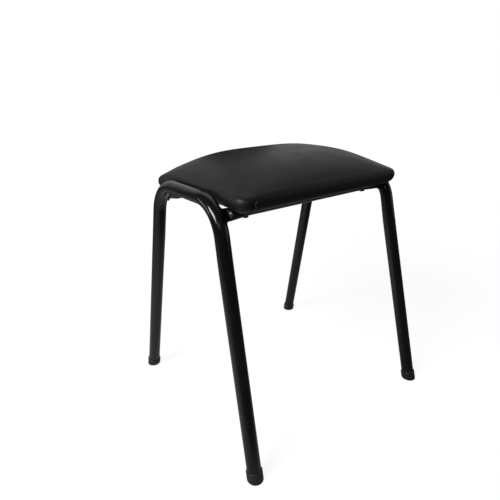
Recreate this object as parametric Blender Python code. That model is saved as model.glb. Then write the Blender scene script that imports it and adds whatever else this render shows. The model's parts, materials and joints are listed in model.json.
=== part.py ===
"""Stacking stool: two bent-tube end frames, two seat rails, an upholstered seat and four foot caps.

Metres, +Z up. X runs along the seat's long side and -Y is the front. The origin is on the floor, under the
middle of the seat. Run with: blender --background --python part.py
"""

import math

import bmesh
import bpy
from mathutils import Vector

# Clearance between pieces that touch on the real stool
GAP = 0.0003

# End frames: one bent tube each, measured on the tube's axis
TUBE_DIAMETER = 0.0222
TUBE_WALL = 0.0012
TOP_RUN_HEIGHT = 0.402
TOP_RUN_HALF_SPACING = 0.1774
TOP_CORNER_HALF_WIDTH = 0.0876
FOOT_HALF_SPACING = 0.1925
FOOT_HALF_WIDTH = 0.1815
BEND_RADIUS = 0.058

# Rails: straight tubes that meet the bends this far round from the top run and this far inside the axis
RAIL_DIAMETER = 0.0159
RAIL_WALL = 0.0012
RAIL_BEND_ANGLE = math.radians(47)
RAIL_INSET = 0.0025
WELD_DIAMETER = 0.0028

# Seat, from the rails up
LINING_THICKNESS = 0.0008
LINING_MARGIN = 0.008
COVER_THICKNESS = 0.0012
HEM_WIDTH = 0.018
BOARD_THICKNESS = 0.010
FOAM_THICKNESS = 0.0467
SEAT_END_CLEARANCE = 0.0005
SEAT_OVERHANG = 0.0473
SEAT_CORNER_RADIUS = 0.0155
WIDEST_ABOVE_BOARD = 0.0026
UPPER_EDGE_RADIUS = 0.012
LOWER_EDGE_RADIUS = 0.005
SIDE_LEAN = math.radians(44)
CROWN_EDGE_SLOPE = math.radians(41.5)

# Seat fixings
SCREW_DIAMETER = 0.005
SCREW_HEAD_DIAMETER = 0.0098
SCREW_HEAD_HEIGHT = 0.0018
# Shares of the head's radius and height, from its top to its bearing face
SCREW_HEAD_PROFILE = ((0.6, 1), (0.9, 0.8), (1, 0.4), (1, 0))
SCREW_SETBACK = 0.009
SCREW_TIP_SETBACK = 0.001
NUT_FLANGE_DIAMETER = 0.019
NUT_FLANGE_THICKNESS = 0.0012
NUT_BARREL_DIAMETER = 0.0072
NUT_BARREL_LENGTH = 0.007

# Foot caps, measured along the leg
CAP_WALL = 0.0013
CAP_HEIGHT = 0.0155
CAP_FLOOR = 0.006
CAP_LOWER_ROUND = 0.0015
CAP_RIM_ROUND = 0.0006

# Facets
TUBE_SIDES = 18
RAIL_SIDES = 20
BEND_STEPS = 9
WELD_SIDES = 6
WELD_STEPS = 24
CAP_SIDES = 24
SCREW_SIDES = 16
CORNER_STEPS = 4
LONG_SIDE_STEPS = 6
SHORT_SIDE_STEPS = 5
UPPER_EDGE_STEPS = 5
LOWER_EDGE_STEPS = 2
CROWN_RINGS = (0.92, 0.8, 0.64, 0.44, 0.2)
LEAST_CORNER_RADIUS = 0.003
SMOOTH_ANGLE = math.radians(40)

TUBE_RADIUS = TUBE_DIAMETER / 2
RAIL_RADIUS = RAIL_DIAMETER / 2
WELD_RADIUS = WELD_DIAMETER / 2
SCREW_RADIUS = SCREW_DIAMETER / 2
FULL_TURN = 2 * math.pi
# Where the middle of a quarter round lies, as a share of its radius
ROUND_MIDDLE = 1 - math.cos(math.pi / 4)
UP = Vector((0, 0, 1))
ALONG_Y = Vector((0, 1, 0))
SIDES = {"left": -1, "right": 1}
ENDS = {"front": -1, "rear": 1}


class Bend:
    """A round corner of a tube's axis between two straight directions."""

    def __init__(self, corner, direction_in, direction_out):
        self.along = direction_in.normalized()
        leaving = direction_out.normalized()
        self.inward = (leaving - self.along * leaving.dot(self.along)).normalized()
        self.turn = self.along.angle(leaving)
        self.start = corner - self.along * BEND_RADIUS * math.tan(self.turn / 2)
        self.centre = self.start + self.inward * BEND_RADIUS

    def point(self, angle, inset=0):
        outward = math.sin(angle) * self.along - math.cos(angle) * self.inward
        return self.centre + (BEND_RADIUS - inset) * outward

    def tangent(self, angle):
        return math.cos(angle) * self.along + math.sin(angle) * self.inward

    def stations(self):
        angles = [self.turn * step / BEND_STEPS for step in range(BEND_STEPS + 1)]
        return [(self.point(angle), self.tangent(angle)) for angle in angles]


def foot_point(side, end):
    return Vector((side * FOOT_HALF_SPACING, end * FOOT_HALF_WIDTH, 0))


def top_corner(side, end):
    return Vector((side * TOP_RUN_HALF_SPACING, end * TOP_CORNER_HALF_WIDTH, TOP_RUN_HEIGHT))


def leg_direction(side, end):
    return (top_corner(side, end) - foot_point(side, end)).normalized()


def rail_bend(side, end):
    """The bend that carries a rail's end, followed from the top run down to the foot."""
    return Bend(top_corner(side, end), ALONG_Y * end, -leg_direction(side, end))


# Levels and half sizes of the seat, worked out from the frame
RAIL_POINT = rail_bend(1, 1).point(RAIL_BEND_ANGLE, RAIL_INSET)
RAIL_HALF_LENGTH = RAIL_POINT.x
RAIL_Y = RAIL_POINT.y
RAIL_Z = RAIL_POINT.z
LINING_BOTTOM = RAIL_Z + RAIL_RADIUS + GAP
HEM_BOTTOM = LINING_BOTTOM + LINING_THICKNESS + GAP
BOARD_BOTTOM = HEM_BOTTOM + COVER_THICKNESS + GAP
BOARD_TOP = BOARD_BOTTOM + BOARD_THICKNESS
FOAM_BOTTOM = BOARD_TOP + GAP
FOAM_OFFSET = COVER_THICKNESS + GAP
SEAT_TOP = FOAM_BOTTOM + FOAM_THICKNESS + FOAM_OFFSET
WIDEST_LEVEL = BOARD_TOP + WIDEST_ABOVE_BOARD
# The round end of the seat lies against the top run's tube, at the stated clearance
END_TO_AXIS = UPPER_EDGE_RADIUS + SEAT_END_CLEARANCE + TUBE_RADIUS
END_REACH = math.sqrt(END_TO_AXIS**2 - (WIDEST_LEVEL - TOP_RUN_HEIGHT) ** 2)
SEAT_HALF_LENGTH = TOP_RUN_HALF_SPACING - END_REACH + UPPER_EDGE_RADIUS
SEAT_HALF_DEPTH = RAIL_Y + SEAT_OVERHANG
# How far in from the widest outline the lower edge's arc has its centre
FACE_FOOT = HEM_BOTTOM + LOWER_EDGE_RADIUS * (1 - math.sin(SIDE_LEAN))
FACE_TOP = WIDEST_LEVEL - UPPER_EDGE_RADIUS * math.sin(SIDE_LEAN)
LOWER_CENTRE_INSET = (
    UPPER_EDGE_RADIUS * (1 - math.cos(SIDE_LEAN))
    + (FACE_TOP - FACE_FOOT) * math.tan(SIDE_LEAN)
    + LOWER_EDGE_RADIUS * math.cos(SIDE_LEAN)
)
HEM_INSET = LOWER_CENTRE_INSET + HEM_WIDTH
BOARD_INSET = LOWER_CENTRE_INSET - (LOWER_EDGE_RADIUS - FOAM_OFFSET)
SCREW_X = SEAT_HALF_LENGTH - HEM_INSET - SCREW_SETBACK


def clear_scene():
    for obj in list(bpy.data.objects):
        bpy.data.objects.remove(obj, do_unlink=True)


def make_material(name, colour, roughness, metallic=0.0):
    material = bpy.data.materials.new(name)
    material.use_nodes = True
    shader = material.node_tree.nodes["Principled BSDF"]
    shader.inputs["Base Color"].default_value = (*colour, 1)
    shader.inputs["Roughness"].default_value = roughness
    shader.inputs["Metallic"].default_value = metallic
    return material


def add_loft(bm, rings, closed=False):
    """Skin rings of equal count in order. The end rings are filled unless the last one joins the first."""
    loops = [[bm.verts.new(point) for point in ring] for ring in rings]
    following = loops[1:] + loops[:1] if closed else loops[1:]
    for lower, upper in zip(loops, following):
        for here in range(len(lower)):
            beside = (here + 1) % len(lower)
            bm.faces.new((lower[here], lower[beside], upper[beside], upper[here]))
    if not closed:
        bm.faces.new(loops[0])
        bm.faces.new(loops[-1])


def make_mesh(name, lofts, closed=False):
    """A mesh of one or more lofted bodies, with every face pointing out."""
    bm = bmesh.new()
    for rings in lofts:
        add_loft(bm, rings, closed)
    bmesh.ops.recalc_face_normals(bm, faces=bm.faces)
    mesh = bpy.data.meshes.new(name)
    bm.to_mesh(mesh)
    bm.free()
    mesh.shade_smooth()
    mesh.set_sharp_from_angle(angle=SMOOTH_ANGLE)
    return mesh


def place(name, mesh, material, parent, location=(0, 0, 0)):
    obj = bpy.data.objects.new(name, mesh)
    if not mesh.materials:
        mesh.materials.append(material)
    obj.parent = parent
    obj.location = location
    bpy.context.collection.objects.link(obj)
    return obj


def make_cutter(name, lofts):
    obj = bpy.data.objects.new(name, make_mesh(name, lofts))
    obj.hide_render = True
    obj.display_type = "WIRE"
    bpy.context.collection.objects.link(obj)
    return obj


def cut(obj, cutter):
    boolean = obj.modifiers.new("cut " + cutter.name, "BOOLEAN")
    boolean.operation = "DIFFERENCE"
    boolean.object = cutter


def ring_round(centre, across, beside, radius, sides):
    """A circle of points in the plane of two unit vectors."""
    angles = [FULL_TURN * step / sides for step in range(sides)]
    return [centre + radius * (math.cos(a) * across + math.sin(a) * beside) for a in angles]


def turned(profile, sides, origin=Vector((0, 0, 0))):
    """Rings of a shape turned about the vertical through origin, from radius and height pairs."""
    across = Vector((1, 0, 0))
    return [ring_round(origin + UP * height, across, ALONG_Y, radius, sides) for radius, height in profile]


def frame_stations(side):
    """Points and directions along one end frame's axis, from its front foot to its rear foot."""
    foot_gap = CAP_FLOOR + GAP
    front_foot = foot_point(side, -1) + leg_direction(side, -1) * foot_gap
    rear_foot = foot_point(side, 1) + leg_direction(side, 1) * foot_gap
    front_bend = Bend(top_corner(side, -1), leg_direction(side, -1), ALONG_Y)
    stations = [(front_foot, leg_direction(side, -1))]
    stations += front_bend.stations()
    stations += rail_bend(side, 1).stations()
    stations.append((rear_foot, -leg_direction(side, 1)))
    return stations


def frame_rings(side, radius):
    normal = ALONG_Y.cross(rail_bend(side, 1).inward)
    return [
        ring_round(point, normal, tangent.cross(normal), radius, TUBE_SIDES)
        for point, tangent in frame_stations(side)
    ]


def make_end_frame(name, side, material, parent):
    outside = frame_rings(side, TUBE_RADIUS)
    inside = frame_rings(side, TUBE_RADIUS - TUBE_WALL)
    mesh = make_mesh(name, [outside + inside[::-1]], closed=True)
    return place(name, mesh, material, parent)


def rail_rings(end, radius):
    """Two circles at the axes of the end frames, which the coping then trims."""
    ends = (-RAIL_HALF_LENGTH, RAIL_HALF_LENGTH)
    return [ring_round(Vector((x, end * RAIL_Y, RAIL_Z)), ALONG_Y, UP, radius, RAIL_SIDES) for x in ends]


def make_rail(name, end, material, parent, coping, screw_holes):
    outside = rail_rings(end, RAIL_RADIUS)
    inside = rail_rings(end, RAIL_RADIUS - RAIL_WALL)
    rail = place(name, make_mesh(name, [outside + inside[::-1]], closed=True), material, parent)
    cut(rail, coping)
    cut(rail, screw_holes)
    return rail


def weld_point(bend, inner_normal, end, angle):
    """The middle of the weld bead at one angle round a rail: a bead's radius clear of rail and bend."""
    reach = RAIL_RADIUS + GAP + WELD_RADIUS
    target = TUBE_RADIUS + GAP + WELD_RADIUS
    point = Vector((bend.centre.x, end * RAIL_Y + reach * math.cos(angle), RAIL_Z + reach * math.sin(angle)))
    for _ in range(8):
        offset = point - bend.centre
        in_plane = math.hypot(offset.dot(bend.along), offset.dot(bend.inward))
        height = math.sqrt(target**2 - (in_plane - BEND_RADIUS) ** 2)
        point.x += (height - offset.dot(inner_normal)) / inner_normal.x
    return point


def make_weld(name, side, end, material, parent):
    bend = rail_bend(side, end)
    inner_normal = bend.along.cross(bend.inward)
    if inner_normal.x * side > 0:
        inner_normal.negate()
    angles = [FULL_TURN * step / WELD_STEPS for step in range(WELD_STEPS)]
    points = [weld_point(bend, inner_normal, end, angle) for angle in angles]
    rings = []
    for index, angle in enumerate(angles):
        tangent = (points[(index + 1) % WELD_STEPS] - points[index - 1]).normalized()
        outward = Vector((0, math.cos(angle), math.sin(angle)))
        across = (outward - tangent * outward.dot(tangent)).normalized()
        rings.append(ring_round(points[index], across, tangent.cross(across), WELD_RADIUS, WELD_SIDES))
    return place(name, make_mesh(name, [rings], closed=True), material, parent)


def seat_outline(inset, height):
    """The seat's plan outline, drawn in by an inset, as a ring of points at a height."""
    half_x = SEAT_HALF_LENGTH - inset
    half_y = SEAT_HALF_DEPTH - inset
    radius = max(SEAT_CORNER_RADIUS - inset, LEAST_CORNER_RADIUS)
    arcs = []
    for quarter, (sign_x, sign_y) in enumerate(((1, 1), (-1, 1), (-1, -1), (1, -1))):
        centre = Vector((sign_x * (half_x - radius), sign_y * (half_y - radius), height))
        angles = [(quarter + step / CORNER_STEPS) * math.pi / 2 for step in range(CORNER_STEPS + 1)]
        arcs.append([centre + radius * Vector((math.cos(a), math.sin(a), 0)) for a in angles])
    ring = []
    for quarter, arc in enumerate(arcs):
        following = arcs[(quarter + 1) % len(arcs)][0]
        steps = SHORT_SIDE_STEPS if quarter % 2 else LONG_SIDE_STEPS
        ring += arc
        ring += [arc[-1].lerp(following, step / steps) for step in range(1, steps)]
    return ring


def arc_rings(centre_inset, centre_height, radius, first, last, steps):
    """Seat outlines round an edge, the angle counted up from the horizontal."""
    angles = [first + (last - first) * step / steps for step in range(steps + 1)]
    return [
        seat_outline(centre_inset - radius * math.cos(a), centre_height + radius * math.sin(a)) for a in angles
    ]


def crown_share(point, half_x, half_y, power_x, power_y):
    """Height of the crown over its edge, as a share, before the corners are levelled."""
    return (1 - abs(point.x / half_x) ** power_x) * (1 - abs(point.y / half_y) ** power_y)


def crown_rings(edge, top):
    """Rings from the seat's upper edge to near its middle, starting at the edge slope all round."""
    half_x = max(point.x for point in edge)
    half_y = max(point.y for point in edge)
    rise = top - edge[0].z
    power_x = math.tan(CROWN_EDGE_SLOPE) * half_x / rise
    power_y = math.tan(CROWN_EDGE_SLOPE) * half_y / rise
    rings = []
    for scale in CROWN_RINGS:
        ring = []
        for start in edge:
            point = Vector((start.x * scale, start.y * scale, start.z))
            at_edge = crown_share(start, half_x, half_y, power_x, power_y)
            share = crown_share(point, half_x, half_y, power_x, power_y)
            point.z += rise * (share - at_edge) / (1 - at_edge)
            ring.append(point)
        rings.append(ring)
    return rings


def upper_rings(offset, first_angle=-SIDE_LEAN):
    """The seat's upper edge and crown, this far inside the cover's outer surface."""
    radius = UPPER_EDGE_RADIUS - offset
    edge_angle = math.pi / 2 - CROWN_EDGE_SLOPE
    rings = arc_rings(UPPER_EDGE_RADIUS, WIDEST_LEVEL, radius, first_angle, edge_angle, UPPER_EDGE_STEPS)
    return rings + crown_rings(rings[-1], SEAT_TOP - offset)


def cover_rings(offset):
    """One face of the cover from the inner edge of its hem, round the seat, to the middle of the crown."""
    radius = LOWER_EDGE_RADIUS - offset
    lower_height = HEM_BOTTOM + LOWER_EDGE_RADIUS
    hem = seat_outline(HEM_INSET, HEM_BOTTOM + offset)
    lower = arc_rings(LOWER_CENTRE_INSET, lower_height, radius, -math.pi / 2, -SIDE_LEAN, LOWER_EDGE_STEPS)
    return [hem] + lower + upper_rings(offset)


def make_cover(name, material, parent):
    outside = cover_rings(0)
    inside = cover_rings(COVER_THICKNESS)
    return place(name, make_mesh(name, [outside[::-1] + inside]), material, parent)


def make_foam(name, material, parent):
    """The foam fills the cover from the top of the board up, its foot part way round the upper edge."""
    foot_angle = math.asin((FOAM_BOTTOM - WIDEST_LEVEL) / (UPPER_EDGE_RADIUS - FOAM_OFFSET))
    return place(name, make_mesh(name, [upper_rings(FOAM_OFFSET, foot_angle)]), material, parent)


def make_board(name, material, parent, nut_seats):
    radius = LOWER_EDGE_RADIUS - FOAM_OFFSET
    rings = arc_rings(LOWER_CENTRE_INSET, BOARD_BOTTOM + radius, radius, -math.pi / 2, 0, LOWER_EDGE_STEPS)
    rings.append(seat_outline(BOARD_INSET, BOARD_TOP))
    board = place(name, make_mesh(name, [rings]), material, parent)
    cut(board, nut_seats)
    return board


def make_lining(name, material, parent, screw_holes):
    inset = BOARD_INSET + LINING_MARGIN
    rings = [seat_outline(inset, LINING_BOTTOM + lift) for lift in (0, LINING_THICKNESS)]
    lining = place(name, make_mesh(name, [rings]), material, parent)
    cut(lining, screw_holes)
    return lining


def screw_places():
    """The four screw axes, named by the corner of the seat they hold."""
    return {
        end_name + "_" + side_name: Vector((side * SCREW_X, end * RAIL_Y, 0))
        for end_name, end in ENDS.items()
        for side_name, side in SIDES.items()
    }


def screw_mesh():
    """A pan head under the rail and a plain shank, with the bearing face at height zero."""
    tip = nut_seat_height() + NUT_FLANGE_THICKNESS - SCREW_TIP_SETBACK - screw_seat_height()
    head_radius = SCREW_HEAD_DIAMETER / 2
    profile = [(head_radius * share, -SCREW_HEAD_HEIGHT * drop) for share, drop in SCREW_HEAD_PROFILE]
    profile += [(SCREW_RADIUS, 0), (SCREW_RADIUS, tip)]
    return make_mesh("seat_screw", [turned(profile, SCREW_SIDES)])


def nut_mesh():
    """A tee nut whose flange sits on height zero, with its barrel hanging down."""
    bore = SCREW_RADIUS + GAP
    barrel = NUT_BARREL_DIAMETER / 2
    flange = NUT_FLANGE_DIAMETER / 2
    profile = (
        (bore, -NUT_BARREL_LENGTH),
        (barrel, -NUT_BARREL_LENGTH),
        (barrel, 0),
        (flange, 0),
        (flange, NUT_FLANGE_THICKNESS),
        (bore, NUT_FLANGE_THICKNESS),
    )
    return make_mesh("tee_nut", [turned(profile, SCREW_SIDES)], closed=True)


def screw_seat_height():
    return RAIL_Z - RAIL_RADIUS - GAP


def nut_seat_height():
    return BOARD_TOP - GAP - NUT_FLANGE_THICKNESS


def make_screw_hole_cutter():
    """Clearance holes through the rails and the lining."""
    bottom = RAIL_Z - RAIL_DIAMETER
    profile = ((SCREW_RADIUS + GAP, bottom), (SCREW_RADIUS + GAP, BOARD_BOTTOM))
    holes = [turned(profile, SCREW_SIDES, axis) for axis in screw_places().values()]
    return make_cutter("screw_holes", holes)


def make_nut_seat_cutter():
    """Stepped holes through the board for the tee nuts."""
    barrel = NUT_BARREL_DIAMETER / 2 + GAP
    flange = NUT_FLANGE_DIAMETER / 2 + GAP
    step = nut_seat_height() - GAP
    profile = (
        (barrel, BOARD_BOTTOM - BOARD_THICKNESS),
        (barrel, step),
        (flange, step),
        (flange, BOARD_TOP + BOARD_THICKNESS),
    )
    seats = [turned(profile, SCREW_SIDES, axis) for axis in screw_places().values()]
    return make_cutter("nut_seats", seats)


def make_foot_cap(name, side, end, material, parent):
    """A cap round the leg's end, its floor cut level where it stands."""
    axis = leg_direction(side, end)
    across = axis.cross(ALONG_Y).normalized()
    beside = axis.cross(across)
    bore = TUBE_RADIUS + GAP
    outer = bore + CAP_WALL
    origin = Vector((0, 0, 0))

    def square_ring(radius, distance):
        return ring_round(axis * distance, across, beside, radius, CAP_SIDES)

    def level_ring(radius, height):
        ring = ring_round(origin, across, beside, radius, CAP_SIDES)
        return [point + axis * ((height - point.z) / axis.z) for point in ring]

    rings = [
        level_ring(outer - CAP_LOWER_ROUND, 0),
        level_ring(outer - CAP_LOWER_ROUND * ROUND_MIDDLE, CAP_LOWER_ROUND * ROUND_MIDDLE),
        level_ring(outer, CAP_LOWER_ROUND),
        square_ring(outer, CAP_HEIGHT - CAP_RIM_ROUND),
        square_ring(outer - CAP_RIM_ROUND, CAP_HEIGHT),
        square_ring(bore, CAP_HEIGHT),
        square_ring(bore, CAP_FLOOR),
    ]
    return place(name, make_mesh(name, [rings]), material, parent, foot_point(side, end))


def main():
    clear_scene()
    stool = bpy.data.objects.new("stool", None)
    bpy.context.collection.objects.link(stool)

    powder_coat = make_material("black powder coat", (0.012, 0.012, 0.013), 0.25)
    vinyl = make_material("black vinyl", (0.022, 0.023, 0.023), 0.45)
    lining = make_material("black lining", (0.015, 0.015, 0.016), 0.5)
    foam = make_material("foam", (0.75, 0.68, 0.45), 0.95)
    plywood = make_material("plywood", (0.55, 0.38, 0.22), 0.7)
    zinc = make_material("zinc-plated steel", (0.6, 0.6, 0.58), 0.35, 1.0)
    soft_plastic = make_material("black soft plastic", (0.018, 0.018, 0.018), 0.55)

    coping = make_cutter("rail_coping", [frame_rings(side, TUBE_RADIUS + GAP) for side in SIDES.values()])
    screw_holes = make_screw_hole_cutter()
    nut_seats = make_nut_seat_cutter()

    for side_name, side in SIDES.items():
        make_end_frame(side_name + "_end_frame", side, powder_coat, stool)
    for end_name, end in ENDS.items():
        make_rail(end_name + "_rail", end, powder_coat, stool, coping, screw_holes)
        for side_name, side in SIDES.items():
            corner = end_name + "_" + side_name
            make_weld("weld_" + corner, side, end, powder_coat, stool)
            make_foot_cap("foot_cap_" + corner, side, end, soft_plastic, stool)

    make_lining("seat_lining", lining, stool, screw_holes)
    make_board("seat_board", plywood, stool, nut_seats)
    make_foam("seat_foam", foam, stool)
    make_cover("seat_cover", vinyl, stool)

    screw = screw_mesh()
    nut = nut_mesh()
    for corner, axis in screw_places().items():
        place("seat_screw_" + corner, screw, powder_coat, stool, axis + UP * screw_seat_height())
        place("tee_nut_" + corner, nut, zinc, stool, axis + UP * nut_seat_height())


main()
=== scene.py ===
"""Looks of the stacking stool: bent tubes, welds, upholstered seat, lining, staples, screws and foot caps.

Metres, +Z up, X along the seat's long side, -Y the front. The frame's sizes repeat those of the solids,
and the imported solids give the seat's levels and the places of the rails and screws.
"""

import json
import math

import bmesh
import bpy
from mathutils import Matrix, Vector, noise

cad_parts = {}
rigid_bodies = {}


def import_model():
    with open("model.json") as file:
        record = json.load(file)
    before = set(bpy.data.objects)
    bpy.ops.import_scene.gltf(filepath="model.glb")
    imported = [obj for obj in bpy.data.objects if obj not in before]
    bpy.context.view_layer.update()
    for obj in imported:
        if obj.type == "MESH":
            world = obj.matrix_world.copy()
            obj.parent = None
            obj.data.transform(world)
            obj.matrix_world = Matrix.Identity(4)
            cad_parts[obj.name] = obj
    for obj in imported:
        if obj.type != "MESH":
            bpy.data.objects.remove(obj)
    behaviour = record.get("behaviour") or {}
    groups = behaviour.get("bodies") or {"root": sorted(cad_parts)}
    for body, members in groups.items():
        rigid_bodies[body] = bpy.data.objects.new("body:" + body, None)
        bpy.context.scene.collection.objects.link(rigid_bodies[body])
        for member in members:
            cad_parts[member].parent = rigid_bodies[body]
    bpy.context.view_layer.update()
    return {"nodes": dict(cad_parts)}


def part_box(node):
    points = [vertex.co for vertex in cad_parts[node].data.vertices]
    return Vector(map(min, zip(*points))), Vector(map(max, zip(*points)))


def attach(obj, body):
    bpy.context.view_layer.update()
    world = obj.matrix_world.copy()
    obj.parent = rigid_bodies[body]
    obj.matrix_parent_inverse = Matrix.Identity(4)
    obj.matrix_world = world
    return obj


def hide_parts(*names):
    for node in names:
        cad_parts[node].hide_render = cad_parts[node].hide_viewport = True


# A new file's own cube, lamp and camera go first
for spare in list(bpy.data.objects):
    bpy.data.objects.remove(spare)
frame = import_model()

# Frame sizes, as in the solids
GAP = 0.0003
TUBE_RADIUS = 0.0111
TUBE_WALL = 0.0012
TOP_RUN_HEIGHT = 0.402
TOP_RUN_HALF_SPACING = 0.1774
TOP_CORNER_HALF_WIDTH = 0.0876
FOOT_HALF_SPACING = 0.1925
FOOT_HALF_WIDTH = 0.1815
BEND_RADIUS = 0.058
RAIL_RADIUS = 0.00795
RAIL_WALL = 0.0012
WELD_REACH = 0.0010

# Bent tubes
TUBE_SIDES = 56
BEND_STEP = math.radians(2.5)
LEG_STEP = 0.012
# How much a bend flattens its tube, and how far along the legs that fades out
BEND_FLATTENING = 0.07
FLATTENING_FADE = 0.05

# Weld beads, with the ripples of the torch and a thickness that wanders
BEAD_RADIUS = 0.0015
BEAD_POINTS = 216
BEAD_SIDES = 10
BEAD_RIPPLES = 24.0
BEAD_RIPPLE_DEPTH = 0.16
BEAD_RIPPLE_MIDDLE = 0.6
BEAD_UNEVENNESS = 0.12
BEAD_GRAIN = 260.0
BEAD_SEED_STEP = 3.7

# Rails
RAIL_SIDES = 48
RAIL_END_STEPS = 28
RAIL_MIDDLE_STEPS = 6
SCREW_HOLE_RADIUS = 0.0028
SCREW_HOLE_REACH = 0.02
# Their ends are pressed flat along the bends, over a shoulder and a longer flare
RAIL_END_HALF_WIDTH = 0.0115
RAIL_END_HALF_THICKNESS = 0.0019
RAIL_FLAT_LENGTH = 0.0058
RAIL_SHOULDER_LENGTH = 0.0102
RAIL_FLARE_LENGTH = 0.042
RAIL_FLATNESS = 0.4
# Rounds of the search for a point on the side of a bend
SEARCH_ROUNDS = 8

# Seat cover and foam
UPPER_EDGE_RADIUS = 0.012
LOWER_EDGE_RADIUS = 0.005
SIDE_LEAN = math.radians(44)
CROWN_EDGE_SLOPE = math.radians(41.5)
SEAT_CORNER_RADIUS = 0.021
LEAST_CORNER_RADIUS = 0.003
WIDEST_ABOVE_BOARD = 0.0026
HEM_WIDTH = 0.018
COVER_THICKNESS = 0.0012
FOAM_OFFSET = 0.0035
OUTLINE_STEP = 0.004
OUTLINE_CORNER_STEPS = 8
LOWER_EDGE_STEPS = 4
UPPER_EDGE_STEPS = 8
CROWN_STEPS = 24
CROWN_STEP_POWER = 0.9
COVER_VOXEL = 0.0045
# The cover starts this far inside its outline, less than 0 being outside, and swells up to the cap
COVER_SLACK = -0.0006
COVER_SWELL_CAP = 0.0022
COVER_PRESSURE = 4.0
# Its underside is held up to this rise above the hem
COVER_HELD_RISE = 0.004
CLOTH_FRAMES = 20
CLOTH_QUALITY = 6
CLOTH_STRETCH = 25
CLOTH_SHEAR = 15
CLOTH_BENDING = 2
COVER_SMOOTHING = 4
COVER_SMOOTHING_SHARE = 0.5
# Faces whose middle is below this rise belong to the underside, which is cut back to the hem
UNDERSIDE_RISE = 0.0035

# How far the folded vinyl sinks and bulges at each corner of the hand-made seat
CORNER_DROOP = {(-1, -1): 0.0025, (1, -1): 0.0012, (-1, 1): 0.0065, (1, 1): 0.002}
CORNER_BULGE = {(-1, -1): 0.0020, (1, -1): 0.0015, (-1, 1): 0.0055, (1, 1): 0.0025}
CORNER_BULGE_DEPTHWISE = 0.5
CORNER_CORE = 0.003
CORNER_REACH = 0.042

# A slanting pleat with a ridge beside it on the long side of each corner, shallower near the hem
PLEAT_FROM_END = 0.0215
PLEAT_DEPTH = 0.0034
PLEAT_WIDTH = 0.0012
PLEAT_RIDGE = 0.0010
PLEAT_RIDGE_WIDTH = 0.0018
PLEAT_RIDGE_OFFSET = 0.0024
PLEAT_SLANT = 0.36
PLEAT_ZONE = 0.034
PLEAT_HEM_SHARE = 0.4
# Fades above the hem and above the widest level, and with how much a face looks to the long side
PLEAT_HEM_FADE = (0.003, 0.007)
PLEAT_TOP_FADE = (-0.001, 0.004)
PLEAT_FACING = (0.35, 0.6)
# Gathers where the vinyl turns under, counted round a point this far in from the sides
GATHER_DEPTH = 0.0004
GATHER_COUNT = 17
GATHER_INSET = 0.02
GATHER_ABOVE_HEM = 0.003
GATHER_BELOW_WIDEST = 0.002
# The foam's corners sink over this rise above the board, and are trimmed beside the pleats
FOAM_SINK_RISE = 0.012
FOAM_TUCK = 0.0036
FOAM_TUCK_WIDTH = 0.014

# The top runs press the pad's ends in, up to a line a little below the tubes' tops
END_PRESS = 0.0035
PRESS_TOP = TOP_RUN_HEIGHT + TUBE_RADIUS - 0.0019
PRESS_HALF_WIDTH = 0.08
PRESS_SIDE_FADE = 0.03
PRESS_LINE_FADE = (-0.0015, 0.0005)

# The long lower edges droop below the board, fading towards the hem, the top and the corners
LIP_DROOP = 0.0016
LIP_INSET = 0.017
LIP_CORE_SHARE = 0.6
LIP_ABOVE_HEM = 0.002
LIP_ABOVE_WIDEST = 0.004
LIP_CORNER_FADE = (0.004, 0.05)

# Smaller faces beside the pleats and the pressed lines
REFINE_CUTS = 2
REFINE_RISE = 0.004
PLEAT_REFINED = 0.010
PLEAT_REFINED_DEPTH = PLEAT_ZONE * 0.7
PRESS_REFINED = 0.006
PRESS_REFINED_DEPTH = 0.008
PRESS_REFINED_HALF_WIDTH = PRESS_HALF_WIDTH + 0.02

# Lining: it lies flat near its edges and over the rails, and sags and crinkles between
LINING_STEP = 0.0025
LINING_SAG = 0.003
LINING_CRINKLE = 0.0012
LINING_THICKNESS = 0.0005
LINING_SLACK = 0.0004
LINING_EDGE_FADE = (0.004, 0.03)
LINING_RAIL_FADE = (0.003, 0.02)
# Crinkles per metre, the slice of noise they come from, and the share of each finer scale
LINING_FOLDS_PER_METRE = 34
LINING_FOLD_SLICE = 0.7
LINING_FOLD_SCALES = {1.0: 1.0, 2.3: 0.5, 5.1: 0.25}
LINING_FOLD_LEVEL = 1.2
LINING_FOLD_GAIN = 1.6

# Staples
STAPLE_CROWN = 0.0102
STAPLE_WIDTH = 0.0012
STAPLE_HEIGHT = 0.0006
STAPLE_LEG = 0.0018
STAPLE_TURN = 0.0005
STAPLE_SPACING = 0.0265
STAPLE_INSET = 0.0055
STAPLE_ASKEW = 0.2
STAPLE_RAIL_CLEARANCE = 0.015
STAPLE_SEED = 4
STAPLE_PATH_STEPS = 12

# Screws: a domed pan head with a tapering cross recess
SCREW_SIDES = 48
SHANK_RADIUS = 0.0025
DOME_ANGLES = (72, 60, 48, 36, 24, 12, 0)
DOME_CORE_SHARE = 0.45
DOME_FOOT_SHARE = 0.25
DOME_FLAT_SHARE = 0.3
RECESS_LENGTH = 0.0052
RECESS_WIDTH = 0.001
RECESS_DEPTH = 0.0013
RECESS_TAPER = 0.55
RECESS_MARGIN = 0.001
# Each stops at its own turn, in degrees
TURN_BY_SIDE = 25
TURN_BY_END = 40

# Foot caps, along the leg
CAP_SIDES = 72
CAP_WALL = 0.0013
CAP_HEIGHT = 0.0155
CAP_FLOOR = 0.006
CAP_LOWER_ROUND = 0.0010
CAP_ROUND_ANGLES = (0, 18, 36, 54, 72, 90)
CAP_MIDDLE_SHARE = 0.02
# The soft rim is rounded right up to the leg and grips it with hardly any gap
CAP_GRIP_GAP = 0.00005
# Raised rings under the cap: count and depth, then spacing and width as shares of its flat floor
TREADS = 2
TREAD_DEPTH = 0.0006
TREAD_FIRST = 0.45
TREAD_SPREAD = 0.2
TREAD_SHARE = 0.09
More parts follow.
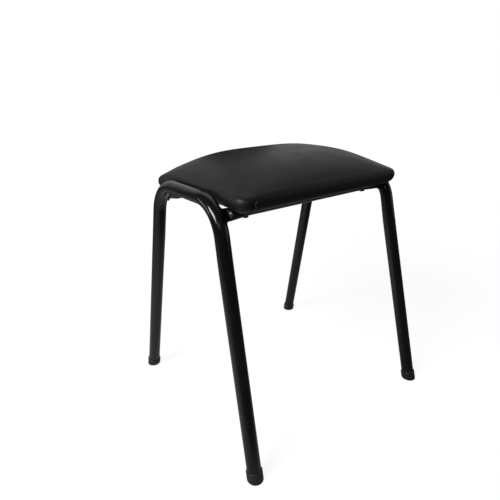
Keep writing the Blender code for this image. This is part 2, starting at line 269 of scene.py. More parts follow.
# Heights across a ring, in shares of its width, and heights at insets from the flat floor's edge
TREAD_SLOPES = ((0.0, TREAD_DEPTH), (0.4, 0.0), (2.2, 0.0), (2.6, TREAD_DEPTH))
CAP_EDGE_SLOPE = ((0.0012, TREAD_DEPTH), (0.0008, 0.0))

# Room and lights. Radiance is that of each panel's face
FLOOR_SIZE = 60
# Light painted on the floor for reflections only: a base level and a pool behind the stool
FLOOR_LEVEL = 0.035
POOL_RADIUS = 0.85
POOL_DIRECTION = (-0.25, 0.97, 0.0)
WALL_DIRECTION = (0.848, 0.45, -0.281)
ROOM_LEVEL = 0.06
LIGHT_AIM = Vector((0, 0, 0.43))
PANELS = {
    "window_light": {"place": (-2.7, -0.25, 2.4), "width": 1.9, "length": 0.9, "radiance": 16.0},
    "low_softbox": {"place": (-2.4, 1.95, 0.62), "width": 1.0, "length": 0.35, "radiance": 4.0},
    "front_softbox": {"place": (-1.8, -1.9, 1.95), "width": 1.8, "length": 0.6, "radiance": 1.0},
}

# Black card behind the seat
FLAG_PLACE = (0.075, 0.25, 0.515)
FLAG_WIDTH = 0.23
FLAG_HEIGHT = 0.29

# Camera, fitted to the photograph's legs
CAMERA_PLACE = (-0.4592, -0.5499, 0.5404)
CAMERA_TURN = (69.0925, 1.2301, -36.3656)
CAMERA_LENS = 29.68
CAMERA_SENSOR = 36.0
CAMERA_CLIP = 0.01

SMOOTH_ANGLE = math.radians(35)
SOFT_SMOOTH_ANGLE = math.radians(60)
UP = Vector((0, 0, 1))
ALONG_X = Vector((1, 0, 0))
ALONG_Y = Vector((0, 1, 0))
SQUARE = ((-1, -1), (1, -1), (1, 1), (-1, 1))
SIDES = {"left": -1, "right": 1}
ENDS = {"front": -1, "rear": 1}
CORNERS = {e + "_" + s: (SIDES[s], ENDS[e]) for e in ENDS for s in SIDES}

# Seat levels and half sizes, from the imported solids
COVER_LOW, COVER_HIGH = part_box("seat_cover")
BOARD_LOW, BOARD_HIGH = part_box("seat_board")
LINING_LOW, LINING_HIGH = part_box("seat_lining")
RAIL_LOW, RAIL_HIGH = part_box("rear_rail")
SCREW_LOW, SCREW_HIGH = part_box("seat_screw_rear_right")
HALF_LENGTH = COVER_HIGH.x
HALF_DEPTH = COVER_HIGH.y
HEM_BOTTOM = COVER_LOW.z
SEAT_TOP = COVER_HIGH.z
WIDEST_LEVEL = BOARD_HIGH.z + WIDEST_ABOVE_BOARD
FOAM_FOOT = BOARD_HIGH.z + 2 * GAP
RAIL_Y = (RAIL_LOW.y + RAIL_HIGH.y) / 2
RAIL_Z = (RAIL_LOW.z + RAIL_HIGH.z) / 2
SCREW_X = (SCREW_LOW.x + SCREW_HIGH.x) / 2


# Small helpers


def smooth_step(value, low, high):
    """0 below low, 1 above high, with a smooth rise between."""
    share = min(max((value - low) / (high - low), 0.0), 1.0)
    return share * share * (3 - 2 * share)


def fade(value, low, high):
    """1 below low, 0 above high, with a smooth fall between."""
    return 1 - smooth_step(value, low, high)


def bump(distance, width):
    """A bell: 1 at no distance, fading either way."""
    return math.exp(-((distance / width) ** 2))


def add_object(name, data):
    obj = bpy.data.objects.new(name, data)
    bpy.context.scene.collection.objects.link(obj)
    return obj


def add_piece(name, mesh, material, slot, *nodes, smooth_angle=SMOOTH_ANGLE):
    """A mesh becomes a piece that rides with the stool and stands for the named solids."""
    mesh.materials.clear()
    mesh.materials.append(material)
    mesh.shade_smooth()
    mesh.set_sharp_from_angle(angle=smooth_angle)
    piece = add_object(name, mesh)
    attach(piece, "root")
    if nodes:
        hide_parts(*nodes)
    return piece


def modify(obj, kind, **settings):
    modifier = obj.modifiers.new(kind.lower(), kind)
    for key, value in settings.items():
        setattr(modifier, key, value)
    return modifier


def baked(obj):
    """The mesh that an object's modifiers make. The object itself goes."""
    depsgraph = bpy.context.evaluated_depsgraph_get()
    mesh = bpy.data.meshes.new_from_object(obj.evaluated_get(depsgraph), depsgraph=depsgraph)
    mesh.name = obj.name
    bpy.data.objects.remove(obj)
    return mesh


def walled(name, mesh, thickness):
    """A mesh given a wall on its inner side."""
    obj = add_object(name, mesh)
    modify(obj, "SOLIDIFY", thickness=thickness, offset=-1)
    return baked(obj)


def drilled(name, mesh, cutters):
    """A mesh with other meshes cut out of it."""
    obj = add_object(name, mesh)
    helpers = [add_object(name + "_cutter", cutter) for cutter in cutters]
    for helper in helpers:
        modify(obj, "BOOLEAN", operation="DIFFERENCE", solver="EXACT", object=helper)
    result = baked(obj)
    for helper in helpers:
        bpy.data.objects.remove(helper)
    return result


def edited(mesh, *edits):
    """A mesh after edits to its vertices and faces, in order."""
    bm = bmesh.new()
    bm.from_mesh(mesh)
    for edit in edits:
        edit(bm)
    bm.to_mesh(mesh)
    bm.free()
    return mesh


def face_outwards(bm):
    bmesh.ops.recalc_face_normals(bm, faces=bm.faces)


def loft_mesh(name, rings, closed=False):
    """Skin rings of equal count in order. The end rings are filled unless the last one joins the first."""
    bm = bmesh.new()
    loops = [[bm.verts.new(point) for point in ring] for ring in rings]
    following = loops[1:] + loops[:1] if closed else loops[1:]
    for lower, upper in zip(loops, following):
        for here in range(len(lower)):
            beside = (here + 1) % len(lower)
            bm.faces.new((lower[here], lower[beside], upper[beside], upper[here]))
    if not closed:
        bm.faces.new(loops[0])
        bm.faces.new(loops[-1])
    face_outwards(bm)
    mesh = bpy.data.meshes.new(name)
    bm.to_mesh(mesh)
    bm.free()
    return mesh


def ring_round(centre, across, beside, radius, sides):
    angles = [2 * math.pi * step / sides for step in range(sides)]
    return [centre + radius * (math.cos(a) * across + math.sin(a) * beside) for a in angles]


def turned(profile, sides):
    """Rings of a shape turned about Z, from radius and height pairs."""
    return [ring_round(UP * height, ALONG_X, ALONG_Y, radius, sides) for radius, height in profile]


# Node trees


class Graph:
    """A node tree with a short way to add a node and fill its inputs from values or other sockets."""

    def __init__(self, tree):
        self.tree = tree

    def fill(self, socket, value):
        if isinstance(value, bpy.types.NodeSocket):
            self.tree.links.new(value, socket)
        else:
            socket.default_value = value

    def add(self, kind, inputs=None, **settings):
        node = self.tree.nodes.new(kind)
        for name, value in settings.items():
            setattr(node, name, value)
        for key, value in (inputs or {}).items():
            self.fill(node.inputs[key], value)
        return node

    def math(self, operation, first, second=0.0):
        return self.add("ShaderNodeMath", {0: first, 1: second}, operation=operation).outputs[0]

    def product(self, first, *others):
        for other in others:
            first = self.math("MULTIPLY", first, other)
        return first

    def vector(self, operation, first, second=(0, 0, 0)):
        key = "Scale" if operation == "SCALE" else 1
        node = self.add("ShaderNodeVectorMath", {0: first, key: second}, operation=operation)
        return node.outputs["Value" if operation in ("DOT_PRODUCT", "LENGTH") else "Vector"]

    def place(self):
        return self.add("ShaderNodeTexCoord").outputs["Object"]

    def axes(self, place):
        return self.add("ShaderNodeSeparateXYZ", {0: place}).outputs

    def noise(self, place, scale, **more):
        inputs = {"Vector": place, "Scale": scale}
        inputs.update({key.capitalize(): value for key, value in more.items()})
        return self.add("ShaderNodeTexNoise", inputs).outputs

    def mix_colour(self, share, *colours):
        first, second = ((*colour, 1) if isinstance(colour, tuple) else colour for colour in colours)
        inputs = {"Factor": share, 6: first, 7: second}
        return self.add("ShaderNodeMix", inputs, data_type="RGBA").outputs[2]

    def map_range(self, value, low, high, to_low=0.0, to_high=1.0):
        inputs = {"Value": value, "From Min": low, "From Max": high, "To Min": to_low, "To Max": to_high}
        return self.add("ShaderNodeMapRange", inputs).outputs[0]


SOCKET_KINDS = {type(None): "NodeSocketGeometry", float: "NodeSocketFloat", int: "NodeSocketInt"}


def new_group(name, kind, inputs, *outputs):
    """A node group with named sockets: its graph, its input sockets by name, and its output sockets.

    An input without a value is geometry, and so is the output of a geometry group.
    """
    group = bpy.data.node_groups.new(name, kind)
    for socket, value in inputs.items():
        made = group.interface.new_socket(socket, in_out="INPUT", socket_type=SOCKET_KINDS[type(value)])
        if value is not None:
            made.default_value = value
    result = "NodeSocketGeometry" if kind == "GeometryNodeTree" else "NodeSocketFloat"
    for socket in outputs:
        group.interface.new_socket(socket, in_out="OUTPUT", socket_type=result)
    graph = Graph(group)
    given = graph.add("NodeGroupInput").outputs
    return graph, given, graph.add("NodeGroupOutput").inputs


def run_nodes(name, mesh, group, **values):
    """Run a geometry node group on a mesh, with its own values or these, and return a plain mesh."""
    obj = add_object(name, mesh)
    modifier = modify(obj, "NODES", node_group=group)
    for item in group.interface.items_tree:
        if item.in_out == "INPUT" and item.name in values:
            modifier[item.identifier] = values[item.name]
    return baked(obj)


def end_nodes(graph, geometry, material, output):
    """Every tree ends alike: smooth faces, real geometry and its material."""
    smooth = graph.add("GeometryNodeSetShadeSmooth", {"Geometry": geometry}).outputs[0]
    real = graph.add("GeometryNodeRealizeInstances", {"Geometry": smooth}).outputs[0]
    finish = graph.add("GeometryNodeSetMaterial", {"Geometry": real, "Material": material})
    graph.fill(output[0], finish.outputs[0])


def path_mesh(name, points, closed=False, **attributes):
    """A line of points as edges, with named values or directions on its points."""
    edges = [(index, index + 1) for index in range(len(points) - 1)]
    if closed:
        edges.append((len(points) - 1, 0))
    mesh = bpy.data.meshes.new(name)
    mesh.from_pydata(points, edges, [])
    for attribute, values in attributes.items():
        is_vector = isinstance(values[0], Vector)
        layer = mesh.attributes.new(attribute, "FLOAT_VECTOR" if is_vector else "FLOAT", "POINT")
        for item, value in zip(layer.data, values):
            setattr(item, "vector" if is_vector else "value", value)
    return mesh


# Shader groups that several finishes share


def make_mottle_group():
    """A cloudy value between two limits, for uneven gloss and tone."""
    inputs = {"Size": 0.02, "Low": 0.0, "High": 1.0}
    graph, given, output = new_group("mottle", "ShaderNodeTree", inputs, "Value")
    place = graph.place()
    scale = graph.math("DIVIDE", 1.0, given["Size"])
    cloud = graph.noise(place, scale, detail=4.0, roughness=0.55)[0]
    graph.fill(output["Value"], graph.map_range(cloud, 0.3, 0.7, given["Low"], given["High"]))
    return graph.tree


def make_pebble_group():
    """Pebbled grain: a height for bump and a mask of the creases between the pebbles, for painted shade in
    them.
    """
    inputs = {"Size": 0.001, "Fine Share": 0.3}
    graph, given, output = new_group("pebble grain", "ShaderNodeTree", inputs, "Height", "Crease")
    place = graph.place()
    scale = graph.math("DIVIDE", 1.0, given["Size"])
    warp = graph.noise(place, graph.product(scale, 0.35))[1]
    bent = graph.vector("ADD", place, graph.vector("SCALE", warp, graph.product(given["Size"], 1.6)))
    inputs = {"Vector": bent, "Scale": scale}
    to_edge = graph.add("ShaderNodeTexVoronoi", inputs, feature="DISTANCE_TO_EDGE").outputs[0]
    fine = graph.product(graph.noise(place, graph.product(scale, 3.0))[0], given["Fine Share"])
    graph.fill(output["Height"], graph.math("ADD", graph.map_range(to_edge, 0.0, 0.3), fine))
    graph.fill(output["Crease"], graph.map_range(to_edge, 0.0, 0.12, 1.0, 0.0))
    return graph.tree


def make_dust_group():
    """A mask of light dust that settles on faces that look up, in patches."""
    inputs = {"Amount": 0.2, "Size": 0.03}
    graph, given, output = new_group("settled dust", "ShaderNodeTree", inputs, "Mask")
    place = graph.place()
    facing = graph.axes(graph.add("ShaderNodeNewGeometry").outputs["Normal"])
    patches = graph.noise(place, graph.math("DIVIDE", 1.0, given["Size"]), detail=6.0)[0]
    specks = graph.noise(place, 1400.0, detail=2.0)[0]
    mask = graph.product(
        graph.map_range(facing["Z"], 0.1, 0.95),
        graph.map_range(patches, 0.42, 0.72),
        graph.map_range(specks, 0.45, 0.75, 0.25, 1.0),
        given["Amount"],
    )
    graph.fill(output["Mask"], mask)
    return graph.tree


MOTTLE = make_mottle_group()
PEBBLE = make_pebble_group()
DUST = make_dust_group()
DUST_COLOUR = (0.16, 0.16, 0.155)


# Finishes


class Finish:
    """A material under construction: its graph and its shader."""

    def __init__(self, name, **constants):
        self.material = bpy.data.materials.new(name)
        self.material.use_nodes = True
        self.graph = Graph(self.material.node_tree)
        self.shader = self.material.node_tree.nodes["Principled BSDF"]
        for key, value in constants.items():
            self.shader.inputs[key.replace("_", " ")].default_value = value

    def group(self, tree, **values):
        inputs = {key.replace("_", " "): value for key, value in values.items()}
        return self.graph.add("ShaderNodeGroup", inputs, node_tree=tree).outputs

    def mottle(self, size, low=0.0, high=1.0):
        return self.group(MOTTLE, Size=size, Low=low, High=high)["Value"]

    def tone(self, size, dark, pale):
        """A colour that drifts between two others, in clouds of a size."""
        return self.graph.mix_colour(self.mottle(size), dark, pale)

    def noise(self, size, detail=3.0):
        return self.graph.noise(self.graph.place(), 1 / size, detail=detail)[0]

    def dusted(self, colour, amount, size=0.03):
        dust = self.group(DUST, Amount=amount, Size=size)["Mask"]
        return self.graph.mix_colour(dust, colour, DUST_COLOUR)

    def done(self, colour, roughness, height, depth):
        """Connect the colour, the roughness as cloud size and limits, and the relief with its depth."""
        inputs = {"Height": height, "Distance": depth, "Strength": 1.0}
        relief = self.graph.add("ShaderNodeBump", inputs).outputs[0]
        sockets = {"Base Color": colour, "Roughness": self.mottle(*roughness), "Normal": relief}
        for key, socket in sockets.items():
            self.graph.fill(self.shader.inputs[key], socket)
        return self.material


def make_powder_coat():
    """Gloss black powder coat with a faint orange peel and a little dust on top."""
    finish = Finish("black_powder_coat", Specular_IOR_Level=0.5)
    colour = finish.tone(0.05, (0.0036, 0.0039, 0.0042), (0.0060, 0.0063, 0.0066))
    return finish.done(finish.dusted(colour, 0.05), (0.012, 0.10, 0.16), finish.noise(0.0016), 0.00004)


def make_vinyl():
    """Black upholstery vinyl: fine pebbled grain with painted shade in its creases, satin, slightly
    greenish.
    """
    finish = Finish("black_vinyl", Specular_IOR_Level=0.38)
    grain = finish.group(PEBBLE, Size=0.0009, Fine_Share=0.35)
    colour = finish.tone(0.09, (0.0080, 0.0090, 0.0086), (0.0105, 0.0115, 0.0111))
    # Painted shade darkens the vinyl in the creases between its pebbles
    crease = finish.graph.product(grain["Crease"], 0.45)
    crease_shaded = finish.graph.mix_colour(crease, colour, (0.006, 0.0065, 0.0063))
    return finish.done(finish.dusted(crease_shaded, 0.06, 0.06), (0.03, 0.40, 0.50), grain["Height"], 0.00006)


def make_lining_finish():
    """Thin black sheet with a fine weave and a plastic shine."""
    finish = Finish("black_lining", Specular_IOR_Level=0.5)
    inputs = {"Vector": finish.graph.place(), "Scale": 210.0, "Distortion": 0.6}
    waves = []
    for direction in ("X", "Y"):
        wave = finish.graph.add("ShaderNodeTexWave", inputs, bands_direction=direction)
        waves.append(wave.outputs[1])
    colour = finish.tone(0.02, (0.009, 0.009, 0.0095), (0.015, 0.015, 0.0155))
    return finish.done(colour, (0.01, 0.24, 0.38), finish.graph.product(*waves), 0.00005)


def make_foot_plastic():
    """Soft black plastic, semi-matt, scuffed grey towards the floor."""
    finish = Finish("black_foot_plastic", Specular_IOR_Level=0.45)
    graph = finish.graph
    low = graph.map_range(graph.axes(graph.place())["Z"], 0.0, 0.006, 1.0, 0.0)
    scuff = graph.product(low, graph.map_range(finish.noise(0.0015, 6.0), 0.5, 0.75, 0.0, 0.6))
    colour = finish.tone(0.008, (0.0145, 0.0148, 0.015), (0.021, 0.0213, 0.0215))
    worn = finish.dusted(graph.mix_colour(scuff, colour, (0.075, 0.074, 0.072)), 0.10, 0.01)
    grain = finish.group(PEBBLE, Size=0.0005, Fine_Share=0.6)
    return finish.done(worn, (0.004, 0.42, 0.56), grain["Height"], 0.00002)


def make_screw_finish():
    """Black oxide on steel, a little brown where it is thin."""
    finish = Finish("black_oxide", Specular_IOR_Level=0.6)
    colour = finish.tone(0.002, (0.010, 0.010, 0.011), (0.022, 0.020, 0.018))
    return finish.done(colour, (0.001, 0.28, 0.45), finish.noise(0.0006), 0.00002)


def make_zinc():
    """Zinc-plated steel wire and stampings."""
    finish = Finish("zinc_plate", Metallic=1.0)
    colour = finish.tone(0.0015, (0.50, 0.51, 0.52), (0.66, 0.66, 0.64))
    return finish.done(colour, (0.001, 0.25, 0.42), finish.noise(0.0005), 0.000015)


def make_foam_finish():
    """Cream open-cell foam, with painted shade in its pores."""
    finish = Finish("seat_foam", Specular_IOR_Level=0.1)
    cells = finish.group(PEBBLE, Size=0.0016, Fine_Share=0.8)
    colour = finish.tone(0.03, (0.62, 0.52, 0.30), (0.74, 0.65, 0.42))
    # Painted shade darkens the foam in the pores between its cells
    crease_shaded = finish.graph.mix_colour(cells["Crease"], colour, (0.42, 0.33, 0.17))
    return finish.done(crease_shaded, (0.01, 0.85, 0.98), cells["Height"], 0.0004)


def make_plywood():
    """Birch plywood: long grain on its faces and thin plies on its edges."""
    finish = Finish("birch_plywood", Specular_IOR_Level=0.35)
    graph = finish.graph
    place = graph.place()
    inputs = {"Vector": place, "Scale": (9.0, 90.0, 90.0)}
    stretched = graph.add("ShaderNodeMapping", inputs).outputs[0]
    grain = graph.noise(stretched, 3.0, detail=8.0, distortion=0.6)[0]
    streaks = graph.map_range(grain, 0.3, 0.7)
    above_foot = graph.math("SUBTRACT", graph.axes(place)["Z"], BOARD_LOW.z)
    plies = graph.map_range(graph.math("PINGPONG", above_foot, 0.002), 0.0008, 0.0012, 0.0, 0.35)
    colour = graph.mix_colour(streaks, (0.44, 0.29, 0.15), (0.62, 0.45, 0.27))
    layered = graph.mix_colour(plies, colour, (0.30, 0.18, 0.09))
    return finish.done(layered, (0.02, 0.55, 0.75), grain, 0.00015)


# Bent end frames


class Bend:
    """A round corner of a tube's axis, entered along one direction and left along another."""

    def __init__(self, corner, direction_in, direction_out):
        self.along = direction_in.normalized()
        leaving = direction_out.normalized()
        self.inward = (leaving - self.along * leaving.dot(self.along)).normalized()
        self.turn = self.along.angle(leaving)
        start = corner - self.along * BEND_RADIUS * math.tan(self.turn / 2)
        self.centre = start + self.inward * BEND_RADIUS

    def point(self, angle):
        return self.centre + BEND_RADIUS * (math.sin(angle) * self.along - math.cos(angle) * self.inward)

    def to_centre(self, angle):
        return (self.centre - self.point(angle)).normalized()


def foot_point(side, end):
    return Vector((side * FOOT_HALF_SPACING, end * FOOT_HALF_WIDTH, 0))


def top_corner(side, end):
    return Vector((side * TOP_RUN_HALF_SPACING, end * TOP_CORNER_HALF_WIDTH, TOP_RUN_HEIGHT))


def leg_direction(side, end):
    return (top_corner(side, end) - foot_point(side, end)).normalized()


def rail_bend(side, end):
    """The bend that carries a rail's end, followed from the top run down to the foot."""
    return Bend(top_corner(side, end), ALONG_Y * end, -leg_direction(side, end))


def half_frame_path(side, end):
    """Points from the middle of the top run to a foot, with inward directions and flattening shares."""
    bend = rail_bend(side, end)
    steps = math.ceil(bend.turn / BEND_STEP)
    angles = [bend.turn * step / steps for step in range(steps + 1)]
    points = [Vector((side * TOP_RUN_HALF_SPACING, 0, TOP_RUN_HEIGHT))] + [bend.point(a) for a in angles]
    inward = [bend.to_centre(a) for a in [0] + angles]
    shares = [1.0] * len(points)
    top = points[-1]
    foot = foot_point(side, end) + leg_direction(side, end) * (CAP_FLOOR + GAP)
    length = (foot - top).length
    leg_steps = math.ceil(length / LEG_STEP)
    for step in range(1, leg_steps + 1):
        share = step / leg_steps
        points.append(top.lerp(foot, share))
        inward.append(inward[-1])
        shares.append(fade(share * length, 0, FLATTENING_FADE))
    return points, inward, shares


def frame_path(name, side):
    """One end frame's axis, from its front foot over the top run to its rear foot."""
    halves = zip(half_frame_path(side, -1), half_frame_path(side, 1))
    points, inward, shares = (front[::-1] + rear[1:] for front, rear in halves)
    return path_mesh(name, points, inward=inward, flattening=shares)


def make_tube_group(material):
    """A round tube along a path, flattened on the inner side of its bends."""
    inputs = {"Path": None, "Radius": TUBE_RADIUS, "Sides": TUBE_SIDES, "Flattening": BEND_FLATTENING}
    graph, given, output = new_group("bent tube", "GeometryNodeTree", inputs, "Tube")
    place = graph.add("GeometryNodeInputPosition").outputs[0]
    curve = graph.add("GeometryNodeMeshToCurve", {"Mesh": given["Path"]}).outputs[0]
    capture = graph.add("GeometryNodeCaptureAttribute", {"Geometry": curve})
    capture.capture_items.new("VECTOR", "axis")
    graph.fill(capture.inputs["axis"], place)
    inputs = {"Resolution": given["Sides"], "Radius": given["Radius"]}
    circle = graph.add("GeometryNodeCurvePrimitiveCircle", inputs).outputs[0]
    inputs = {"Curve": capture.outputs["Geometry"], "Profile Curve": circle}
    swept = graph.add("GeometryNodeCurveToMesh", inputs).outputs[0]
    inward, share = (
        graph.add("GeometryNodeInputNamedAttribute", {"Name": name}, data_type=kind).outputs[0]
        for name, kind in (("inward", "FLOAT_VECTOR"), ("flattening", "FLOAT"))
    )
    offset = graph.vector("SUBTRACT", place, capture.outputs["axis"])
    depth = graph.math("ADD", graph.vector("DOT_PRODUCT", offset, inward), given["Radius"])
    move = graph.vector("SCALE", inward, graph.product(depth, share, given["Flattening"], -1.0))
    flattened = graph.add("GeometryNodeSetPosition", {"Geometry": swept, "Offset": move})
    end_nodes(graph, flattened.outputs[0], material, output)
    return graph.tree


def make_end_frames(material):
    group = make_tube_group(material)
    for side_name, side in SIDES.items():
        node = side_name + "_end_frame"
        name = node + "_tube"
        tube = edited(run_nodes(name, frame_path(node + "_path", side), group), face_outwards)
        add_piece(name, walled(name, tube, TUBE_WALL), material, "powder_coat", node)


# Rails and welds


def bend_side(side, end, y, z, distance):
    """The point with this y and z that lies this far from a bend's axis, on the side of the seat."""
    bend = rail_bend(side, end)
    normal = bend.along.cross(bend.inward)
    if normal.x * side > 0:
        normal = -normal
    point = Vector((bend.centre.x, y, z))
    for _ in range(SEARCH_ROUNDS):
        offset = point - bend.centre
        in_plane = math.hypot(offset.dot(bend.along), offset.dot(bend.inward))
        height = math.sqrt(distance**2 - (in_plane - BEND_RADIUS) ** 2)
        point.x += (height - offset.dot(normal)) / normal.x
    return point


def rail_section(end, sides, grow=0.0, flared=1.0, pressed=1.0):
    """A rail's section as y and z pairs: round, or spread along the bend and pressed thin across it.

    It never rises above the round rail, which carries the seat.
    """
    centre = Vector((0, end * RAIL_Y, RAIL_Z))
    outward = centre - rail_bend(1, end).centre
    outward.x = 0
    outward.normalize()
    lengthwise = ALONG_X.cross(outward)
    half_width = RAIL_RADIUS + (RAIL_END_HALF_WIDTH - RAIL_RADIUS) * flared + grow
    half_thickness = RAIL_RADIUS + (RAIL_END_HALF_THICKNESS - RAIL_RADIUS) * pressed + grow
    points = []
    for step in range(sides):
        angle = 2 * math.pi * step / sides
        rise = math.copysign(abs(math.sin(angle)) ** (1 - RAIL_FLATNESS * pressed), math.sin(angle))
        point = centre + half_width * math.cos(angle) * lengthwise + half_thickness * rise * outward
        points.append((point.y, min(point.z, RAIL_Z + RAIL_RADIUS + grow)))
    return points


def rail_stations(length):
    """Distances along a rail, close together over its formed ends."""
    near = [RAIL_FLARE_LENGTH * step / RAIL_END_STEPS for step in range(RAIL_END_STEPS + 1)]
    step_between = (length - 2 * RAIL_FLARE_LENGTH) / RAIL_MIDDLE_STEPS
    middle = [RAIL_FLARE_LENGTH + step_between * step for step in range(1, RAIL_MIDDLE_STEPS)]
    return near + middle + [length - distance for distance in reversed(near)]


def rail_rings(end, grow):
    """Rings along a rail, the end ones flattened and shaped to the bends they meet."""
    flat_end = rail_section(end, RAIL_SIDES, grow)
    left, right = ([bend_side(s, end, y, z, TUBE_RADIUS + GAP).x for y, z in flat_end] for s in (-1, 1))
    length = min(right) - max(left)
    rings = []
    for distance in rail_stations(length):
        from_end = min(distance, length - distance)
        pressed = fade(from_end, RAIL_FLAT_LENGTH, RAIL_FLAT_LENGTH + RAIL_SHOULDER_LENGTH)
        flared = max(1 - from_end / RAIL_FLARE_LENGTH, 0.0)
        section = rail_section(end, RAIL_SIDES, grow, flared, pressed)
        share = distance / length
        ring = [Vector((a + (b - a) * share, y, z)) for a, b, (y, z) in zip(left, right, section)]
        rings.append(ring)
    return rings


def make_rails(material):
    """Tubes under the seat, walled and drilled for the screws."""
    hole_profile = [(SCREW_HOLE_RADIUS, RAIL_Z + reach) for reach in (-SCREW_HOLE_REACH, SCREW_HOLE_REACH)]
    for end_name, end in ENDS.items():
        node = end_name + "_rail"
        holes = []
        for side in SIDES.values():
            hole = loft_mesh("screw_hole", turned(hole_profile, SCREW_SIDES))
            hole.transform(Matrix.Translation((side * SCREW_X, end * RAIL_Y, 0)))
            holes.append(hole)
        rings = rail_rings(end, 0.0) + rail_rings(end, -RAIL_WALL)[::-1]
        rail = drilled(node + "_tube", loft_mesh(node, rings, closed=True), holes)
        add_piece(node + "_tube", rail, material, "powder_coat", node)


def make_bead_group(material):
    """A weld bead along a closed path, with the ripples that the torch leaves."""
    inputs = {
        "Path": None,
        "Radius": BEAD_RADIUS,
        "Ripples": BEAD_RIPPLES,
        "Ripple Depth": BEAD_RIPPLE_DEPTH,
        "Seed": 0.0,
    }
    graph, given, output = new_group("weld bead", "GeometryNodeTree", inputs, "Bead")
    curve = graph.add("GeometryNodeMeshToCurve", {"Mesh": given["Path"]}).outputs[0]
    along = graph.add("GeometryNodeSplineParameter").outputs["Factor"]
    ripple = graph.math("ABSOLUTE", graph.math("SINE", graph.product(along, given["Ripples"], math.pi)))
    swell = graph.product(graph.math("SUBTRACT", ripple, BEAD_RIPPLE_MIDDLE), given["Ripple Depth"])
    place = graph.add("GeometryNodeInputPosition").outputs[0]
    inputs = {"Vector": place, "W": given["Seed"], "Scale": BEAD_GRAIN}
    wander = graph.add("ShaderNodeTexNoise", inputs, noise_dimensions="4D").outputs[0]
    uneven = graph.map_range(wander, 0.3, 0.7, 1 - BEAD_UNEVENNESS, 1 + BEAD_UNEVENNESS)
    inputs = {"Resolution": BEAD_SIDES, "Radius": given["Radius"]}
    circle = graph.add("GeometryNodeCurvePrimitiveCircle", inputs).outputs[0]
    scale = graph.product(graph.math("ADD", 1.0, swell), uneven)
    inputs = {"Curve": curve, "Profile Curve": circle, "Scale": scale}
    end_nodes(graph, graph.add("GeometryNodeCurveToMesh", inputs).outputs[0], material, output)
    return graph.tree


def make_welds(material):
    """A bead round each end of each rail."""
    group = make_bead_group(material)
    for seed, (corner, (side, end)) in enumerate(CORNERS.items()):
        node = "weld_" + corner
        outline = rail_section(end, BEAD_POINTS, GAP + WELD_REACH)
        points = [bend_side(side, end, y, z, TUBE_RADIUS + GAP + WELD_REACH) for y, z in outline]
        path = path_mesh("weld_path", points, closed=True)
        bead = edited(run_nodes(node, path, group, Seed=seed * BEAD_SEED_STEP), face_outwards)
        add_piece("weld_bead_" + corner, bead, material, "powder_coat", node, smooth_angle=math.pi)


# Seat cover and foam


def outline_count(length):
    return max(2, round(length / OUTLINE_STEP))


def seat_outline(inset, height):
    """The seat's plan outline, drawn in by an inset, as a ring of points at a height."""
    half_x = HALF_LENGTH - inset
    half_y = HALF_DEPTH - inset
    radius = max(SEAT_CORNER_RADIUS - inset, LEAST_CORNER_RADIUS)
    arcs = []
    for quarter, (sign_x, sign_y) in enumerate(SQUARE[2:] + SQUARE[:2]):
        centre = Vector((sign_x * (half_x - radius), sign_y * (half_y - radius), height))
        shares = [step / OUTLINE_CORNER_STEPS for step in range(OUTLINE_CORNER_STEPS + 1)]
        angles = [(quarter + share) * math.pi / 2 for share in shares]
        arcs.append([centre + radius * Vector((math.cos(a), math.sin(a), 0)) for a in angles])
    ring = []
    for quarter, arc in enumerate(arcs):
        following = arcs[(quarter + 1) % len(arcs)][0]
        steps = outline_count(2 * HALF_DEPTH) if quarter % 2 else outline_count(2 * HALF_LENGTH)
        ring += arc
        ring += [arc[-1].lerp(following, step / steps) for step in range(1, steps)]
    return ring


def arc_rings(centre_inset, centre_height, radius, first, last, steps):
    """Seat outlines round an edge, the angle counted up from the horizontal."""
    rings = []
    for step in range(steps + 1):
        angle = first + (last - first) * step / steps
        inset = centre_inset - radius * math.cos(angle)
        rings.append(seat_outline(inset, centre_height + radius * math.sin(angle)))
    return rings


def crown_share(point, half_x, half_y, power_x, power_y):
    return (1 - abs(point.x / half_x) ** power_x) * (1 - abs(point.y / half_y) ** power_y)


def crown_rings(edge, top):
    """Rings from the seat's upper edge to near its middle, starting at the edge slope all round."""
    half_x = max(point.x for point in edge)
    half_y = max(point.y for point in edge)
    rise = top - edge[0].z
    powers = [math.tan(CROWN_EDGE_SLOPE) * half / rise for half in (half_x, half_y)]
    rings = []
    for step in range(1, CROWN_STEPS):
        scale = 1 - (step / CROWN_STEPS) ** CROWN_STEP_POWER
        ring = []
        for start in edge:
            point = Vector((start.x * scale, start.y * scale, start.z))
            at_edge = crown_share(start, half_x, half_y, *powers)
            share = crown_share(point, half_x, half_y, *powers)
            point.z += rise * (share - at_edge) / (1 - at_edge)
            ring.append(point)
        rings.append(ring)
    return rings


def lower_centre_inset():
    """How far in from the widest outline the lower edge's arc has its centre."""
    face_foot = HEM_BOTTOM + LOWER_EDGE_RADIUS * (1 - math.sin(SIDE_LEAN))
    face_top = WIDEST_LEVEL - UPPER_EDGE_RADIUS * math.sin(SIDE_LEAN)
    return (
        UPPER_EDGE_RADIUS * (1 - math.cos(SIDE_LEAN))
        + (face_top - face_foot) * math.tan(SIDE_LEAN)
        + LOWER_EDGE_RADIUS * math.cos(SIDE_LEAN)
    )


def pad_rings(offset, foot_level=None):
    """The padded seat this far inside its cover, from the underside to the middle of the crown.

    With a foot level the pad starts there, part way round the upper edge, as the foam on the board does.
    """
    upper = UPPER_EDGE_RADIUS - offset
    lower = LOWER_EDGE_RADIUS - offset
    if foot_level is None:
        first = -SIDE_LEAN
        height = HEM_BOTTOM + LOWER_EDGE_RADIUS
        rings = arc_rings(lower_centre_inset(), height, lower, -math.pi / 2, first, LOWER_EDGE_STEPS)
    else:
        first = math.asin((foot_level - WIDEST_LEVEL) / upper)
        rings = []
    last = math.pi / 2 - CROWN_EDGE_SLOPE
    rings += arc_rings(UPPER_EDGE_RADIUS, WIDEST_LEVEL, upper, first, last, UPPER_EDGE_STEPS)
    return rings + crown_rings(rings[-1], SEAT_TOP - offset)


